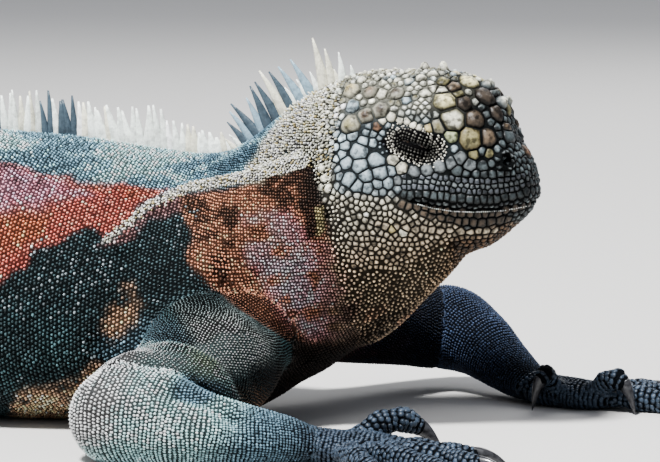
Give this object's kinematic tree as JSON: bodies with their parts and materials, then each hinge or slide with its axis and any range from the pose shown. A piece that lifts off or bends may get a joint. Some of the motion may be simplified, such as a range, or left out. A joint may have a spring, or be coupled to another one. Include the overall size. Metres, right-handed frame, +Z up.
{
  "type": "marine iguana model",
  "caption": "Life-size still model of a marine iguana lying on its belly with its head raised, a crest of spines from nape to tail, and splayed clawed legs.",
  "frame": {"origin": "on the ground, under the centre of the whole animal's bounding box", "axes": "+X towards the snout, +Y to the animal's left, +Z up"},
  "size_m": [0.8304, 0.3006, 0.1264],
  "materials": {
    "skin_head": "scaled skin, cream, grey and dark brown",
    "skin_neck": "granular skin, red brown, black and cream",
    "skin_body": "scaled skin, black and slate with a red flank",
    "skin_tail": "ringed scaled skin, black and slate",
    "skin_leg": "scaled skin, turquoise grey to black",
    "claw": "dark horn, polished",
    "eye": "dark, wet"
  },
  "bodies": {
    "root": {"head": "skin_head", "jaw": "skin_head", "eye_left": "eye", "eye_right": "eye", "neck": "skin_neck", "dewlap": "skin_neck", "trunk_front": "skin_body", "trunk_rear": "skin_body", "tail_base": "skin_tail", "tail_mid": "skin_tail", "tail_rear": "skin_tail", "tail_tip": "skin_tail", "foreleg_upper_right": "skin_leg", "foreleg_lower_right": "skin_leg", "hand_right": "skin_leg", "hindleg_upper_right": "skin_leg", "hindleg_lower_right": "skin_leg", "foot_right": "skin_leg", "hand_claw_right_1": "claw", "foot_claw_right_1": "claw", "hand_claw_right_2": "claw", "foot_claw_right_2": "claw", "hand_claw_right_3": "claw", "foot_claw_right_3": "claw", "hand_claw_right_4": "claw", "foot_claw_right_4": "claw", "hand_claw_right_5": "claw", "foot_claw_right_5": "claw", "foreleg_upper_left": "skin_leg", "foreleg_lower_left": "skin_leg", "hand_left": "skin_leg", "hindleg_upper_left": "skin_leg", "hindleg_lower_left": "skin_leg", "foot_left": "skin_leg", "hand_claw_left_1": "claw", "foot_claw_left_1": "claw", "hand_claw_left_2": "claw", "foot_claw_left_2": "claw", "hand_claw_left_3": "claw", "foot_claw_left_3": "claw", "hand_claw_left_4": "claw", "foot_claw_left_4": "claw", "hand_claw_left_5": "claw", "foot_claw_left_5": "claw"}
  },
  "joints": []
}
